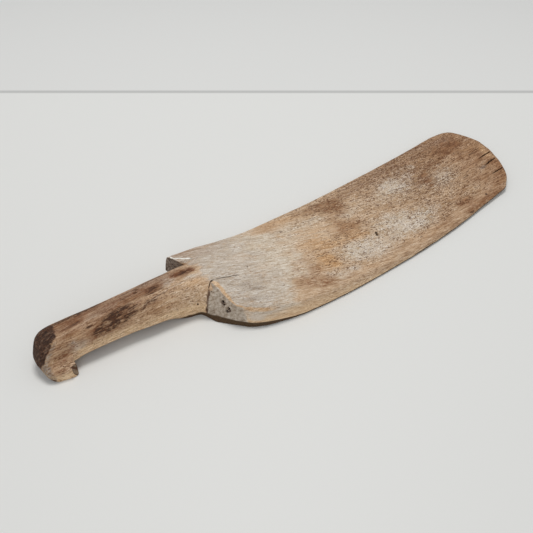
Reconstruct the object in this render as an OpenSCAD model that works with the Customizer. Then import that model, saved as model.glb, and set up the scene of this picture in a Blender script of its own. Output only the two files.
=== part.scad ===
// Scutching knife, carved from one plank of wood.
// X runs from the butt of the handle to the tip of the blade, +Y is the far
// (hollow) edge, and the worn flat of the blade lies on the plane z = 0.
// The origin is on that plane, under the middle of the knife.

/* [Overall] */
// Length over all, from the butt to the tip of the blade
overall_l = 537; // [460:1:620]

/* [Blade] */
// Greatest width of the blade
blade_w = 117; // [96:1:130]
// How far the middle of the tip swings towards the far edge
blade_sweep = 39; // [0:1:50]
// Height of the middle of the blade where it leaves the handle
root_h = 30.5; // [24:0.5:34]
// Height of the middle of the blade at the tip
tip_h = 9; // [7:0.5:14]
// Height of the near arris above the table beside the shoulder
arris_root_h = 21; // [16:0.5:25]
// Height of both arrises above the table at the tip
arris_tip_h = 6.5; // [5.5:0.5:9]
// How much higher the far arris stands at the root
far_rise = 2.5; // [0:0.5:5]
// Width of the worn bevel along the near edge
near_bevel = 4; // [1:0.5:6]
// Width of the worn bevel along the far edge
far_bevel = 2; // [1:0.5:6]
// How far the tip is lifted off the table
tip_lift = 3.5; // [0:0.5:4]
// How far the near side of the tip is rounded back
tip_near_round = 22; // [12:1:30]
// How far the far side of the tip slants back
tip_far_slant = 18; // [10:1:24]
// How much more the far corner of the tip is rounded back
tip_far_corner = 20; // [8:1:26]

/* [Shoulders] */
// How far the near corner of the blade is rounded off in plan
near_relief = 23; // [4:1:26]
// How far the far barb is swept back towards the handle
barb_back = 18; // [0:1:24]
// Lean of the near end face, bottom edge towards the handle
face_lean = 8; // [0:1:12]

/* [Handle] */
// Width of the grip beside the shoulders
grip_w = 38; // [32:1:44]
// Width of the grip beside the hook
neck_w = 34; // [28:1:38]
// Height of the grip
grip_h = 27; // [24:0.5:32]
// How far the hook stands out beyond the grip
hook_out = 11; // [4:1:18]
// Length of the hook and butt along the handle
hook_l = 27; // [22:1:36]

/* [Hidden] */

// Everything is laid out on a knife 537 long and stretched along X.
kx = overall_l / 537;
butt_x = -270;
tip_x = 267;
// Shifts that put the origin under the middle of the knife.
mid_x = (butt_x + tip_x) / 2 * kx;
mid_y = 2;

// --- helpers ---------------------------------------------------------------
function clamp01(v) = max(0, min(1, v));
function mix(a, b, f) = a + (b - a) * f;
function smooth(f) = let (g = clamp01(f)) g * g * (3 - 2 * g);

// Smooth curve through a few knots [x, value], level beyond the ends.
function knot_slope(k, i) =
    let (a = max(0, i - 1), b = min(len(k) - 1, i + 1))
    (k[b][1] - k[a][1]) / (k[b][0] - k[a][0]);
function knot_index(k, x) = max([0, for (i = [0 : len(k) - 2]) if (x >= k[i][0]) i]);
function hermite(a, b, da, db, f) =
    a * (1 + 2 * f) * (1 - f) * (1 - f) + da * f * (1 - f) * (1 - f)
    + b * f * f * (3 - 2 * f) + db * f * f * (f - 1);
function curve(k, x) =
    x <= k[0][0] ? k[0][1] :
    x >= k[len(k) - 1][0] ? k[len(k) - 1][1] :
    let (i = knot_index(k, x), w = k[i + 1][0] - k[i][0])
    hermite(k[i][1], k[i + 1][1], knot_slope(k, i) * w, knot_slope(k, i + 1) * w, (x - k[i][0]) / w);
// Closed smooth curve through points, s counts the points.
function loop_curve(p, s) =
    let (n = len(p), i = floor(s), f = s - i,
         a = p[(i + n - 1) % n], b = p[i % n], c = p[(i + 1) % n], d = p[(i + 2) % n])
    hermite(b, c, (c - a) / 2, (d - b) / 2, f);

// --- blade -----------------------------------------------------------------
// Middle line of the blade in plan: straight off the handle, then swept.
function blade_mid(x) = -14 + blade_sweep * pow(max(0, (x + 40) / 310), 1.5);
// Half width, a little fuller past the middle.
function blade_half(x) = blade_w / 2 - 3 * pow(min(1, abs(x - 115) / 160), 2);
// The near edge draws in towards the shoulder, the far edge flares to a barb.
function near_y(x) = blade_mid(x) - blade_half(x) + near_relief * pow(clamp01((-38 - x) / 62), 1.7);
function far_y(x) = blade_mid(x) + blade_half(x) + 3.5 * pow(clamp01((-60 - x) / 58), 1.5);

// Heights of the top: the middle, and the arris along each edge.
function crest_z(x) = tip_h + (root_h - tip_h) * pow(clamp01((270 - x) / 380), 1.7);
function arris_z(x, t) = arris_tip_h + (arris_root_h - arris_tip_h) * pow(clamp01((150 - x) / 245), 2.2)
    + far_rise * clamp01(t) * clamp01((240 - x) / 160);
function top_z(x, t) = mix(arris_z(x, t), crest_z(x), pow(1 - pow(abs(t), 2.2), 0.9));
// Heights of the underside: a keel at the root, flat further out, lifted at the tip.
function tip_rise(x) = (tip_lift + 0.4) * pow(clamp01((x - 170) / 100), 1.5);
function edge_z(x) = 0.1 + 5 * pow(clamp01((10 - x) / 110), 1.4) + tip_rise(x);
function keel_z(x) = -0.4 + 1.4 * pow(clamp01((-40 - x) / 70), 1.5) + tip_rise(x);
function under_z(x, t) = mix(keel_z(x), edge_z(x), pow(abs(t), 2.4));

// Every ring round the knife has the same points: lines 0 to 7 lead to the near
// shoulder, 8 to 15 run on into the handle and 16 to 20 lead to the far barb.
function edge_steps(a, b, n) = [for (j = [0 : n]) mix(a, b, (1 - cos(180 * j / n)) / 2)];
line_ts = concat(edge_steps(-1, -0.24, 7), edge_steps(-0.2, 0.6, 7), edge_steps(0.64, 1, 4));
near_last = 7;
far_first = 16;
lines = 20;

// Where a line along the blade starts at the shoulders and ends at the tip.
function root_x(j, low) =
    let (t = line_ts[j])
    j <= near_last ? -106 + 5 * (-0.24 - t) / 0.76 + (3 + 8 * low) * pow(-t, 6) - face_lean * low
    : j < far_first ? -100
    : -105 - barb_back * (t - 0.64) / 0.36 - 2 * low;
// The tip is square in the middle, rounded on the near side, and slants back
// on the far side to a rounded corner.
function tip_end_x(t, low) = tip_x - low * 9 * pow(clamp01(-t), 6)
    - tip_near_round * pow(clamp01((-0.1 - t) / 0.9), 1.9)
    - tip_far_slant * pow(clamp01((t - 0.2) / 0.8), 1.3)
    - tip_far_corner * pow(clamp01((t - 0.8) / 0.2), 3);

blade_rows = 34;
function row_u(i) = (1 - cos(180 * i / blade_rows)) / 2;
function blade_point(i, j, low) =
    let (t = line_ts[j],
         x = mix(root_x(j, low), tip_end_x(t, low), row_u(i)),
         y = mix(near_y(x) + (low ? 0 : near_bevel), far_y(x) - (low ? 0 : far_bevel), (t + 1) / 2))
    [x * kx, y, low ? under_z(x, t) : top_z(x, t)];

// --- handle ----------------------------------------------------------------
// Plan and profile of the handle from the butt to the shoulders.
function grip_far(x) = curve([[-270, 9], [-262, 18], [-252, 23], [-238, 22.5], [-215, 21.5],
    [-185, 21.5], [-150, grip_w - 15.5], [-115, grip_w - 13.5], [-100, grip_w - 13]], x);
function grip_near(x) = curve([[-270, -9], [-264, -15], [-254, -12.5], [-235, 20 - neck_w], [-215, 19.5 - neck_w],
    [-185, 19.5 - neck_w], [-150, 21 - grip_w], [-125, -20], [-110, -27], [-100, -28]], x);
function grip_top(x) = curve([[-270, 17], [-264, 24], [-250, 28.5], [-220, 3.5 + grip_h],
    [-170, 4.5 + grip_h], [-120, 4.5 + grip_h], [-100, 3.5 + grip_h]], x);
function grip_under(x) = curve([[-270, 9], [-262, 1.5], [-255, -0.4], [-248, -0.2], [-238, 3], [-215, 5],
    [-170, 4.5], [-130, 2.5], [-100, 1.5]], x);
// Section of the grip in half widths and half heights, from the far side over
// the top: a steep far side, a soft ridge, a sloping near facet, a round underside.
grip_section = [[1, -0.05], [0.99, 0.45], [0.84, 0.78], [0.25, 0.95], [-0.3, 1], [-0.6, 0.72],
    [-0.84, 0.25], [-0.99, -0.25], [-0.93, -0.65], [-0.5, -0.95], [0.05, -1], [0.6, -0.9], [0.92, -0.55]];
// Which point of the section each line runs into.
function line_s(j, low) = low
    ? (j >= far_first ? mix(12.9, 12, (lines - j) / 4)
        : j > near_last ? mix(11.7, 9.1, (far_first - 1 - j) / 7) : mix(8.8, 7.2, (near_last - j) / 7))
    : (j <= near_last ? mix(6.9, 4.7, j / 7)
        : j < far_first ? mix(4.3, 1.6, (j - 8) / 7) : mix(1.3, 0.2, (j - far_first) / 4));
// The hook: a spur low on the near side, its end face leaning over towards the blade.
function hook_bump(x) = smooth((butt_x + hook_l + 1 - x) / 3) * smooth((x - butt_x + 10) / 16);
function hook_fillet(x) = pow(clamp01((-234 - x) / 10), 2) * smooth((x - butt_x + 6) / 18);

handle_xs = concat([-270, -269, -267.5, -265, -262, -258, -254, -250, -247],
    [for (k = [0 : 3]) butt_x + hook_l - 2 + k], [-238, -233, -229],
    [for (x = [-222 : 9 : -132]) x], [-126, -120]);
function butt_scale(x) = pow(1 - pow(clamp01((-256 - x) / 14.4), 2.6), 1 / 2.6);
// The last ring, with root set, lies on the end face of the near shoulder.
function handle_point(x, j, low, root) =
    let (s = line_s(j, low),
         p = loop_curve(grip_section, s),
         f = grip_far(x), n = grip_near(x), g = grip_top(x), d = grip_under(x),
         spur = smooth(1 - abs(s - 8.2) / 2.6),
         out = (hook_out * hook_bump(x) + 2 * hook_fillet(x)) * spur * butt_scale(x),
         shift = root ? (j <= near_last ? -face_lean * (1 - p[1]) / 2 : 0)
             : 0.35 * out * smooth((x - butt_x - 4) / 14))
    [(x + shift) * kx, (f + n) / 2 + butt_scale(x) * (f - n) / 2 * p[0] - out,
        max(-0.4, (g + d) / 2 + butt_scale(x) * (g - d) / 2 * p[1])];

// --- solids ----------------------------------------------------------------
// One ring of points: over the top from near to far, then back underneath.
function blade_ring(i) = concat(
    [for (j = [0 : lines]) blade_point(i, j, 0)], [for (j = [lines : -1 : 0]) blade_point(i, j, 1)]);
function handle_ring(x, root) = concat(
    [for (j = [0 : lines]) handle_point(x, j, 0, root)], [for (j = [lines : -1 : 0]) handle_point(x, j, 1, root)]);

// Closed skin over a list of rings. The strip between the last ring of the
// handle and the first ring of the blade is the end faces of the shoulders.
module skin(rings) {
    n = len(rings[0]);
    m = len(rings);
    base = (m - 1) * n;
    sides = [for (i = [0 : m - 2]) for (k = [0 : n - 1])
        let (a = i * n + k, b = i * n + (k + 1) % n, c = (i + 1) * n + (k + 1) % n, d = (i + 1) * n + k)
        each [[a, b, c], [a, c, d]]];
    ends = [for (k = [0 : n / 2 - 2]) each [
        [k, n - 1 - k, n - 2 - k], [k, n - 2 - k, k + 1],
        [base + k, base + n - 2 - k, base + n - 1 - k], [base + k, base + k + 1, base + n - 2 - k]]];
    polyhedron(points = [for (r = rings) each r], faces = concat(sides, ends));
}

module scutching_knife() {
    color([0.66, 0.56, 0.45])
    translate([-mid_x, -mid_y, 0])
    intersection() {
        skin(concat(
            [for (x = handle_xs) handle_ring(x, false)],
            [handle_ring(-106, true)],
            [for (i = [0 : blade_rows]) blade_ring(i)]));
        // the underside is worn to one flat
        translate([-400, -150, 0]) cube([800, 300, 100]);
    }
}

scutching_knife();
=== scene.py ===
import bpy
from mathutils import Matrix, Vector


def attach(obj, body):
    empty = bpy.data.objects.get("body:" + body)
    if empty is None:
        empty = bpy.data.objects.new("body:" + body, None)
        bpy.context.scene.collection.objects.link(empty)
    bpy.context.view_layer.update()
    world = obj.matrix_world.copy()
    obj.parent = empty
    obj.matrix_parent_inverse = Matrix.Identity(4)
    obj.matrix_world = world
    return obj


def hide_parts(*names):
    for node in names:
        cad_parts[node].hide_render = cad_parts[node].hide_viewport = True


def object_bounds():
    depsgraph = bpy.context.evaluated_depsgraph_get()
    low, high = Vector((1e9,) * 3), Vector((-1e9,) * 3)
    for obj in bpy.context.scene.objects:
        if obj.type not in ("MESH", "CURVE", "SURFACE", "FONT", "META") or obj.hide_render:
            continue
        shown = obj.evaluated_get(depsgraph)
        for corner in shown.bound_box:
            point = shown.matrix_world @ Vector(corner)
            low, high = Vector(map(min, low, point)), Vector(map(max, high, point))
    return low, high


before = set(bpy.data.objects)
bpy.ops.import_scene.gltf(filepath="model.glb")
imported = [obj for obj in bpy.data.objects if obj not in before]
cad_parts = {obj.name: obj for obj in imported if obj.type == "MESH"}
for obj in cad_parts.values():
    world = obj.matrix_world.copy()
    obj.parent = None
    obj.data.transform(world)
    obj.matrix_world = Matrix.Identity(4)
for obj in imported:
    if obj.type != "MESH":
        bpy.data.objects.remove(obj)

import math

import bpy
import mathutils
import numpy as np

CAD_BOX = [[float(v) for v in corner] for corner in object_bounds()]

# ---------------------------------------------------------------- the carved shape, in mm
# Same stations and curves as the construction, with many more of them. x runs from the butt to the
# tip, y to the far edge, z up. SHIFT takes these numbers to the shared frame.
SHIFT = np.array([1.5, -2.0, 0.0])
BUTT_X, TIP_X = -270.0, 267.0


def clamp01(a):
    return np.clip(a, 0.0, 1.0)


def mix(a, b, f):
    return a + (b - a) * f


def smooth(f):
    g = clamp01(f)
    return g * g * (3 - 2 * g)


def hermite(a, b, da, db, f):
    g = 1 - f
    return a * (1 + 2 * f) * g * g + da * f * g * g + b * f * f * (3 - 2 * f) - db * f * f * g


def curve(knots, x):
    k = np.array(knots, float)
    kx, ky = k[:, 0], k[:, 1]
    n = len(k)
    slope = np.array([(ky[min(n - 1, i + 1)] - ky[max(0, i - 1)]) / (kx[min(n - 1, i + 1)] - kx[max(0, i - 1)])
                      for i in range(n)])
    x = np.clip(np.asarray(x, float), kx[0], kx[-1])
    i = np.clip(np.searchsorted(kx, x, side="right") - 1, 0, n - 2)
    w = kx[i + 1] - kx[i]
    return hermite(ky[i], ky[i + 1], slope[i] * w, slope[i + 1] * w, (x - kx[i]) / w)


def loop_curve(points, s):
    p = np.array(points, float)
    n = len(p)
    i = np.floor(s).astype(int)
    f = (s - i)[..., None]
    a, b, c, d = p[(i - 1) % n], p[i % n], p[(i + 1) % n], p[(i + 2) % n]
    return hermite(b, c, (c - a) / 2, (d - b) / 2, f)


def blade_mid(x):
    return -14 + 39 * np.maximum(0, (x + 40) / 310) ** 1.5


def blade_half(x):
    return 58.5 - 3 * np.minimum(1, np.abs(x - 115) / 160) ** 2


# small departures of the real edges from the even curves, in mm, positive towards +y
NEAR_TRIM = [[-110, -0.5], [-80, -0.4], [-60, 0.8], [-25, 0.9], [10, 0], [50, -0.6], [95, -1.2], [150, -1.3], [182, 0],
             [210, 0.8], [235, 1.2], [260, 0.3]]
FAR_TRIM = [[-70, 0], [-35, 0.7], [10, 1.3], [60, 1.0], [120, 0.8], [165, 0.3], [200, 0]]


def near_y(x):
    return blade_mid(x) - blade_half(x) + 23 * clamp01((-38 - x) / 62) ** 1.7 + curve(NEAR_TRIM, x)


def far_y(x):
    return blade_mid(x) + blade_half(x) + 3.5 * clamp01((-60 - x) / 58) ** 1.5 + curve(FAR_TRIM, x)


def crest_z(x):
    return 9 + 21.5 * clamp01((270 - x) / 380) ** 1.7


def arris_z(x, t):
    return 6.5 + 14.5 * clamp01((150 - x) / 245) ** 2.2 + 2.5 * clamp01(t) * clamp01((240 - x) / 160)


def top_z(x, t):
    return mix(arris_z(x, t), crest_z(x), (1 - np.minimum(1, np.abs(t)) ** 2.2) ** 0.9)


def tip_rise(x):
    return 3.9 * clamp01((x - 170) / 100) ** 1.5


def edge_z(x):
    return 0.1 + 5 * clamp01((10 - x) / 110) ** 1.4 + tip_rise(x)


def keel_z(x):
    return -0.4 + 1.4 * clamp01((-40 - x) / 70) ** 1.5 + tip_rise(x)


def under_z(x, t):
    return mix(keel_z(x), np.where(t < 0, 0.15 + tip_rise(x), edge_z(x)), np.abs(t) ** 2.4)


RIM = [[-126, 5.4], [-102, 7.0], [-90, 6.9], [-78, 6.2], [-64, 4.4], [-45, 2.3], [-12, 1.8], [50, 2.0], [145, 2.5],
       [210, 2.7], [270, 2.3]]
LOW_TRIM = [[-116, 0.6], [-110, 1.3], [-102, 0.6], [-91, -3.0], [-78, -2.6], [-64, -1.0], [-45, 0.2], [-20, 0]]


def rim_z(x):
    return 0.15 + tip_rise(x) + curve(RIM, x)


TIP_ROUND = [[-1, 23.6], [-0.93, 19.8], [-0.85, 14.8], [-0.7, 9.6], [-0.5, 5.1], [-0.3, 2.3], [-0.1, 0.4], [0.1, 0],
             [0.2, 0], [0.4, 3], [0.6, 7.5], [0.8, 13], [0.9, 18], [0.96, 26], [1, 38]]


def tip_end_x(t, low):
    return TIP_X - low * 9 * clamp01(-t) ** 6 - curve(TIP_ROUND, t)


FAR_ROOT = [[0.6, -118.0], [0.64, -118.3], [0.7, -119], [0.79, -120.2], [0.87, -121.2], [0.95, -122.2], [1, -123.4]]


def root_x(t, group, low):
    near = -106 + 5 * (-0.24 - t) / 0.76 + (3 + 8 * low) * np.abs(np.minimum(t, 0)) ** 6 - 8 * low
    near = near + 1.8 * low * smooth((-0.4 - t) / 0.3) * smooth((1 + t) / 0.15) - 1.5 * low * smooth((-0.8 - t) / 0.2)
    far = curve(FAR_ROOT, t) - 2 * low
    return np.where(group == 0, near, np.where(group == 1, -100.0, far))


GRIP_FAR = [[-270, 10.5], [-262, 19], [-252, 22.2], [-238, 21.5], [-215, 20.7], [-185, 21.2], [-150, 22.7],
            [-115, 24.5], [-100, 25]]
GRIP_NEAR = [[-270, -9.5], [-264, -15.6], [-254, -12.8], [-235, -13.2], [-215, -13.6], [-185, -14.3], [-166, -15.9], [-150, -16.5],
             [-125, -19.4], [-110, -27], [-100, -28]]
GRIP_TOP = [[-270, 18.5], [-264, 25], [-250, 28.5], [-220, 30.5], [-170, 31.5], [-120, 31.5], [-100, 30.5]]
GRIP_UNDER = [[-270, 7.6], [-266, 3.2], [-262, 0.9], [-255, -0.4], [-248, -0.2], [-238, 3], [-215, 5], [-170, 4.5],
              [-130, 2.5], [-100, 1.5]]
HOOK_END = [[-270, -9.6], [-267, -14.6], [-264, -18.2], [-260, -20.8], [-255, -21.6], [-249, -22.8], [-242, -23.2],
            [-238, -23.2]]
FOOT = [[-154, -13.2], [-141, -15.4], [-132, -16.9], [-122, -18.6], [-117, -22.6], [-114, -26.0], [-110, -31.0], [-106, -35]]
GRIP_SECTION = [[1, -0.05], [0.99, 0.45], [0.84, 0.78], [0.25, 0.95], [-0.3, 1], [-0.6, 0.72], [-0.84, 0.25],
                [-0.99, -0.25], [-0.93, -0.65], [-0.5, -0.95], [0.05, -1], [0.6, -0.9], [0.92, -0.55]]

# the lines that run along the knife: over the top from near to far, down the far side, back under it
# and up the near side. t is the place across the blade, cad_s the place round the handle's section.
NEAR_N, MID_N, FAR_N, SIDE_N = 29, 33, 15, 9
TOP_N = NEAR_N + MID_N + FAR_N
LINES = 2 * (TOP_N + SIDE_N)


def line_table():
    def spread(n):
        u = np.linspace(0, 1, n)
        return u, mix(u, np.arccos(1 - 2 * u) / np.pi, 0.5)

    t, group, f_all = [], [], []
    for g, n, a, b in ((0, NEAR_N, -1, -0.24), (1, MID_N, -0.2, 0.6), (2, FAR_N, 0.64, 1)):
        f = spread(n)[1]
        t += list(mix(a, b, (1 - np.cos(np.pi * f)) / 2))
        group += [g] * n
        f_all += list(f)
    t, group, f = np.array(t), np.array(group), np.array(f_all)
    s_top = np.where(group == 0, mix(6.9, 4.7, f), np.where(group == 1, mix(4.3, 1.6, f), mix(1.3, 0.2, f)))
    s_low = np.where(group == 0, mix(8.8, 7.2, 1 - f) - 0.0, np.where(group == 1, mix(11.7, 9.1, 1 - f), mix(12.9, 12, 1 - f)))
    s_low = np.where(group == 0, mix(8.3, 8.98, f), s_low)
    return t, group, s_top, s_low


TOP_T, TOP_GROUP, S_TOP, S_LOW = line_table()
SIDE_F = np.arange(1, SIDE_N + 1) / (SIDE_N + 1)


def cad_s():
    """Section parameter of every line, as the construction has it, running down without a break."""
    far = mix(S_TOP[-1], S_LOW[-1] - 13, SIDE_F)
    near = mix(S_LOW[0] - 13, S_TOP[0] - 13, SIDE_F)
    return np.concatenate([S_TOP, far, S_LOW[::-1] - 13, near])


def even_s():
    """Section parameter of every line at equal steps round the handle."""
    s = np.linspace(7.0, -6.0, 2601)
    p = loop_curve(GRIP_SECTION, s) * [19, 13.5]
    run = np.concatenate([[0], np.cumsum(np.hypot(*np.diff(p, axis=0).T))])
    k = np.arange(LINES) + SIDE_N / 2 + 0.5
    return np.interp(k / LINES * run[-1], run, s)


CAD_S, EVEN_S = cad_s(), even_s()
GROUP = np.concatenate([TOP_GROUP, np.full(SIDE_N, 2), TOP_GROUP[::-1], np.full(SIDE_N, 0)])


def butt_scale(x):
    return (1 - clamp01((-256 - x) / 14.4) ** 2.6) ** (1 / 2.6)


def handle_ring(x):
    s = mix(EVEN_S, CAD_S, smooth((x + 175) / 55))
    p = loop_curve(GRIP_SECTION, s)
    ring_s = np.mod(s, 13)
    b = butt_scale(x)
    f, n = curve(GRIP_FAR, x), curve(GRIP_NEAR, x)
    g, d = curve(GRIP_TOP, x), curve(GRIP_UNDER, x)
    y = (f + n) / 2 + b * (f - n) / 2 * p[:, 0]
    z = (g + d) / 2 + b * (g - d) / 2 * p[:, 1]
    # the hook: a blunt block on the low near side, with an upright inner wall
    low = smooth((ring_s - 6.3) / 1.3) * smooth((10.9 - ring_s) / 1.3)
    flare = (2.2 * clamp01((-231 - x) / 9) ** 2 + 1.8 * smooth((-238.9 - x) / 2.5)) * smooth((x + 264) / 18)
    block = smooth((-240.3 - x) / 1.5) * smooth((x + 270.6) / 4)
    y = y - flare * low
    y = mix(y, np.minimum(y, curve(HOOK_END, x)), low * block)
    z = z - block * 0.6 * smooth((ring_s - 8.0) / 1.0) * smooth((10.9 - ring_s) / 1.3) * smooth((x + 250) / 8)
    # the handle's root thickens downwards to meet the shoulder
    foot = smooth((x + 156) / 27) * smooth((ring_s - 7.5) / 0.7) * smooth((10.4 - ring_s) / 1.0)
    y = mix(y, curve(FOOT, x), 0.9 * foot)
    z = mix(z, 0.4, 0.92 * foot)
    lean = clamp01((x + 120) / 14) * np.where(GROUP == 0, -8 * (1 - p[:, 1]) / 2, 0)
    lean = lean - 8 * clamp01((x + 122) / 16) * (GROUP == 2)
    return np.stack([x + lean, y, np.maximum(-0.4, z)], -1)


def blade_ring(u):
    def line(low):
        x = mix(root_x(TOP_T, TOP_GROUP, low), tip_end_x(TOP_T, low), u)
        y = mix(near_y(x) + (curve(LOW_TRIM, x) + 0.4 if low else 4), far_y(x) - (0 if low else 2), (TOP_T + 1) / 2)
        return np.stack([x, y, under_z(x, TOP_T) if low else top_z(x, TOP_T)], -1)

    top, low = line(0), line(1)

    def side(a, b, sign):
        p = mix(a[None], b[None], SIDE_F[:, None])
        p[:, 1] += sign * 0.9 * 4 * SIDE_F * (1 - SIDE_F)
        return p

    a, b = low[0], top[0]
    arris = np.array([mix(a[0], b[0], 0.4), a[1] - 0.4, rim_z(a[0])])
    f = SIDE_F[:, None]
    near = np.where(f <= 0.4, mix(a, arris, f / 0.4), mix(arris, b, (f - 0.4) / 0.6))
    near[:, 1] -= 0.7 * np.where(SIDE_F > 0.4, np.sin(np.pi * (SIDE_F - 0.4) / 0.6), 0)
    return np.concatenate([top, side(top[-1], low[-1], 1), low[::-1], near])


def stations(a, b, step, fine=()):
    """Places from a to b about step apart, closer in the (from, to, step) spans of fine."""
    out = [a]
    while out[-1] < b:
        d = step
        for lo, hi, st in fine:
            if lo <= out[-1] < hi:
                d = st
        out.append(out[-1] + d)
    if b - out[-2] < 0.5 * step:
        out.pop(-2)
    out[-1] = b
    return out


def skin():
    rings = [handle_ring(x) for x in stations(BUTT_X, -106.0, 1.5, [(-270, -262, 0.7), (-245, -242.4, 0.7), (-242.4, -239.8, 0.3), (-239.8, -238, 0.6)])]
    first = blade_ring(0.0)
    for f in np.arange(1, 18) / 18:
        rings.append(mix(rings[-1] if f == 1 / 18 else root, first, f)) if f > 1 / 18 else None
        if f == 1 / 18:
            root = rings[-1]
            rings.append(mix(root, first, f))
    for u in stations(0.0, 1.0, 1 / 222, [(0, 0.01, 1 / 480), (0.98, 1, 1 / 450)]):
        rings.append(blade_ring(u))
    r = np.array(rings)
    v = r.reshape(-1, 3)
    n, m = r.shape[0], r.shape[1]
    i, j = np.meshgrid(np.arange(n - 1), np.arange(m), indexing="ij")
    a, b = i * m + j, i * m + (j + 1) % m
    quads = [np.stack([a, b, b + m, a + m], -1).reshape(-1, 4)]
    for ring, flip in ((0, True), (n - 1, False)):
        base = ring * m
        grid = np.zeros((SIDE_N + 2, TOP_N), int)
        grid[0] = base + np.arange(TOP_N)
        grid[-1] = base + TOP_N + SIDE_N + np.arange(TOP_N)[::-1]
        grid[1:-1, -1] = base + TOP_N + np.arange(SIDE_N)
        grid[1:-1, 0] = base + 2 * TOP_N + SIDE_N + np.arange(SIDE_N)[::-1]
        inner = np.zeros((SIDE_N, TOP_N - 2, 3))
        for k in range(SIDE_N):
            f = (k + 1) / (SIDE_N + 1)
            p = mix(v[grid[0]], v[grid[-1]], f)
            w = np.linspace(0, 1, TOP_N)[:, None]
            p = p + (v[grid[k + 1, 0]] - p[0]) * (1 - w) + (v[grid[k + 1, -1]] - p[-1]) * w
            if not flip:
                p[:, 0] += 0.5 * 4 * f * (1 - f)
            inner[k] = p[1:-1]
        start = len(v)
        v = np.concatenate([v, inner.reshape(-1, 3)])
        grid[1:-1, 1:-1] = start + np.arange(SIDE_N * (TOP_N - 2)).reshape(SIDE_N, -1)
        q = np.stack([grid[:-1, :-1], grid[:-1, 1:], grid[1:, 1:], grid[1:, :-1]], -1).reshape(-1, 4)
        quads.append(q[:, ::-1] if flip else q)
    q = np.concatenate(quads)
    short = np.linalg.norm(v[q[:, 0]] - v[q[:, 2]], axis=1) <= np.linalg.norm(v[q[:, 1]] - v[q[:, 3]], axis=1)
    one = np.where(short[:, None], q[:, [0, 1, 2]], q[:, [0, 1, 3]])
    two = np.where(short[:, None], q[:, [0, 2, 3]], q[:, [1, 2, 3]])
    tris = np.concatenate([one, two])
    tri = v[tris]
    volume = np.einsum("ij,ij->i", tri[:, 0], np.cross(tri[:, 1], tri[:, 2])).sum()
    return v, tris if volume > 0 else tris[:, ::-1]


# ---------------------------------------------------------------- mesh tools
def edges_of(tris):
    e = np.concatenate([tris[:, [0, 1]], tris[:, [1, 2]], tris[:, [2, 0]]])
    return np.unique(np.sort(e, axis=1), axis=0)


def normals_of(v, tris):
    t = v[tris]
    fn = np.cross(t[:, 1] - t[:, 0], t[:, 2] - t[:, 0])
    n = np.stack([np.bincount(tris.ravel(), np.repeat(fn[:, c], 3), len(v)) for c in range(3)], -1)
    return n / np.maximum(1e-9, np.linalg.norm(n, axis=1))[:, None]


def relax(v, tris, rounds, strength):
    e = edges_of(tris)
    both = np.concatenate([e, e[:, ::-1]])
    count = np.bincount(both[:, 0], minlength=len(v))[:, None]
    for _ in range(rounds):
        mean = np.stack([np.bincount(both[:, 0], v[both[:, 1], c], len(v)) for c in range(3)], -1) / count
        v = v + strength * (mean - v)
    return v


def refine(v, tris, wanted):
    """Splits every edge that wanted(middle, length) names, and the triangles on it to match."""
    e = np.concatenate([tris[:, [0, 1]], tris[:, [1, 2]], tris[:, [2, 0]]])
    uniq, back = np.unique(np.sort(e, axis=1), axis=0, return_inverse=True)
    back = back.reshape(3, -1).T
    middle = (v[uniq[:, 0]] + v[uniq[:, 1]]) / 2
    cut = wanted(middle, np.linalg.norm(v[uniq[:, 0]] - v[uniq[:, 1]], axis=1))
    new = np.full(len(uniq), -1)
    new[cut] = len(v) + np.arange(cut.sum())
    v = np.concatenate([v, middle[cut]])
    m = new[back]
    k = (m >= 0).sum(1)
    out = [tris[k == 0]]
    s = k == 3
    a, b, c = tris[s].T
    p, q, r = m[s].T
    out += [np.stack(x, -1) for x in ((a, p, r), (p, b, q), (r, q, c), (p, q, r))]
    for turn in range(3):
        order = [(turn + i) % 3 for i in range(3)]
        a, b, c = tris[:, order].T
        p, q, r = m[:, order].T
        s = (k == 1) & (p >= 0)
        out += [np.stack([a[s], p[s], c[s]], -1), np.stack([p[s], b[s], c[s]], -1)]
        s = (k == 2) & (r < 0)
        out += [np.stack([p[s], b[s], q[s]], -1), np.stack([a[s], p[s], q[s]], -1), np.stack([a[s], q[s], c[s]], -1)]
    return v, np.concatenate(out)


def lattice(i, j, k, seed):
    h = (i * 374761393 + j * 668265263 + k * 1103515245 + seed * 69069) & 0xFFFFFFFF
    h = ((h ^ (h >> 13)) * 1274126177) & 0xFFFFFFFF
    h = ((h ^ (h >> 15)) * 2246822519) & 0xFFFFFFFF
    return (h ^ (h >> 16)) / 2147483648.0 - 1.0


def noise(p, seed):
    """Smooth value noise from -1 to 1."""
    base = np.floor(p).astype(np.int64)
    f = p - base
    f = f * f * f * (f * (f * 6 - 15) + 10)
    total = 0
    for a in (0, 1):
        for b in (0, 1):
            for c in (0, 1):
                w = (f[:, 0] if a else 1 - f[:, 0]) * (f[:, 1] if b else 1 - f[:, 1]) * (f[:, 2] if c else 1 - f[:, 2])
                total = total + w * lattice(base[:, 0] + a, base[:, 1] + b, base[:, 2] + c, seed)
    return total


def fractal(p, seed, octaves=3):
    total, size, amount = 0, 1.0, 1.0
    for k in range(octaves):
        total = total + amount * noise(p * size + 17.3 * k, seed + 31 * k)
        size, amount = size * 2.03, amount * 0.55
    return total / 1.6


def grain_space(p):
    """Place in the plank: along the grain, across it in plan, and in depth, in mm."""
    slope = [[-270, 0.03], [-120, 0.03], [-100, -0.2], [-70, -0.26], [0, -0.18], [60, -0.07], [120, 0.0], [200, 0.09],
             [270, 0.12]]
    x = np.linspace(-300, 300, 601)
    g = np.concatenate([[0], np.cumsum(curve(slope, x[:-1] + 0.5))])
    return np.stack([p[:, 0], p[:, 1] - np.interp(p[:, 0], x, g), p[:, 2]], -1)


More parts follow.
